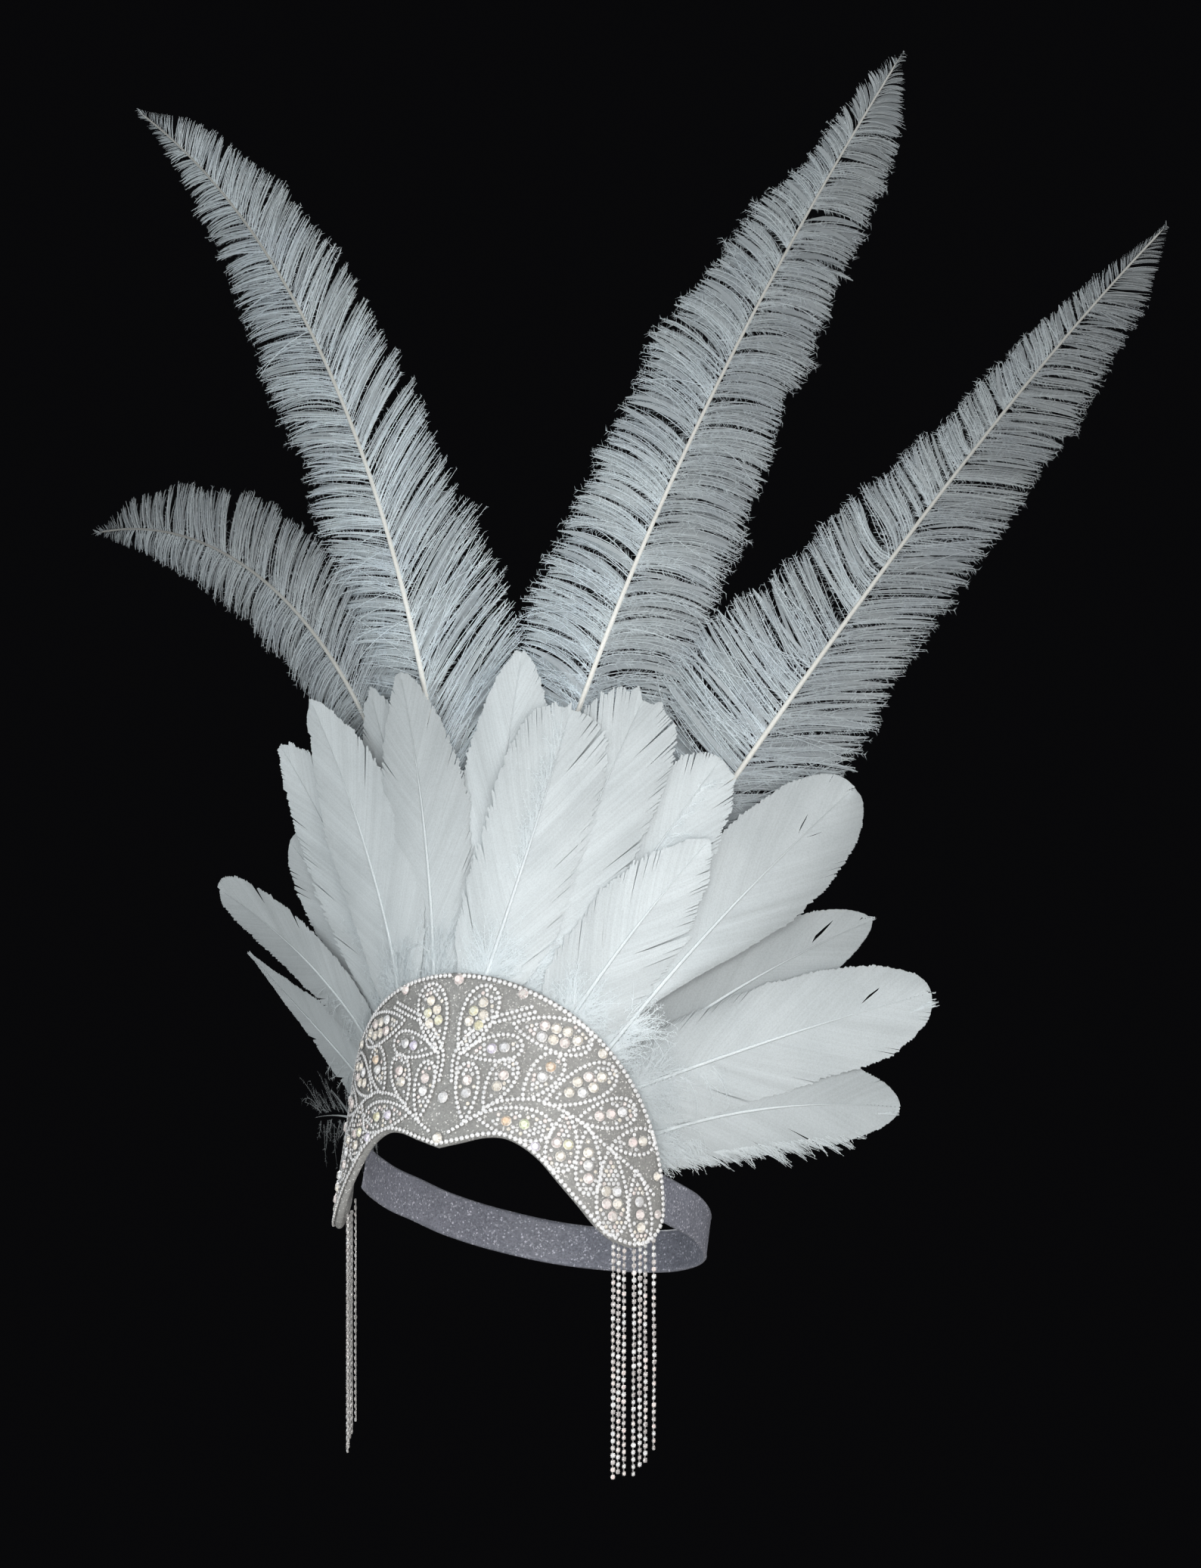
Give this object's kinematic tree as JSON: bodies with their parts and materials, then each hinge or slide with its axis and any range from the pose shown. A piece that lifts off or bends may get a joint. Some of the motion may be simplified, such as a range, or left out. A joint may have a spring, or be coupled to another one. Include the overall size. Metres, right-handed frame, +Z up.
{
  "type": "feather headdress",
  "caption": "White feather headdress: a curved brow panel set with rhinestones, a fan of goose feathers, tall ostrich plumes, temple fringes and a strap round the head.",
  "frame": {"origin": "on the axis of the panel's curve, in the middle of the head, level with the peak of the brow edge", "axes": "+Z up along the wearer's head, -Y the way the wearer faces, +X the wearer's left"},
  "size_m": [0.5183, 0.1516, 0.5786],
  "materials": {
    "fabric_silver": "fine silver glitter cloth over a stiff base",
    "crystal": "cut clear and iridescent stones in silver cups",
    "elastic_silver": "ribbed elastic with a silver thread",
    "goose_white": "satin white feather vanes",
    "ostrich_white": "soft white barbs on a pale shaft"
  },
  "bodies": {
    "root": {"front_panel": "fabric_silver", "border_chain": "crystal", "leaf_spray_left": "crystal", "leaf_spray_right": "crystal", "heart_stone": "crystal", "fringe_left": "crystal", "fringe_right": "crystal", "head_strap": "elastic_silver", "goose_feather_01": "goose_white", "goose_feather_02": "goose_white", "goose_feather_03": "goose_white", "goose_feather_04": "goose_white", "goose_feather_05": "goose_white", "goose_feather_06": "goose_white", "goose_feather_07": "goose_white", "goose_feather_08": "goose_white", "goose_feather_09": "goose_white", "goose_feather_10": "goose_white", "goose_feather_11": "goose_white", "goose_feather_12": "goose_white", "goose_feather_13": "goose_white", "goose_feather_14": "goose_white", "goose_feather_15": "goose_white", "goose_feather_16": "goose_white", "goose_feather_17": "goose_white", "goose_feather_18": "goose_white", "goose_feather_19": "goose_white", "goose_feather_20": "goose_white", "plume_right_low": "ostrich_white", "plume_right": "ostrich_white", "plume_left": "ostrich_white", "plume_left_low": "ostrich_white"}
  },
  "joints": []
}
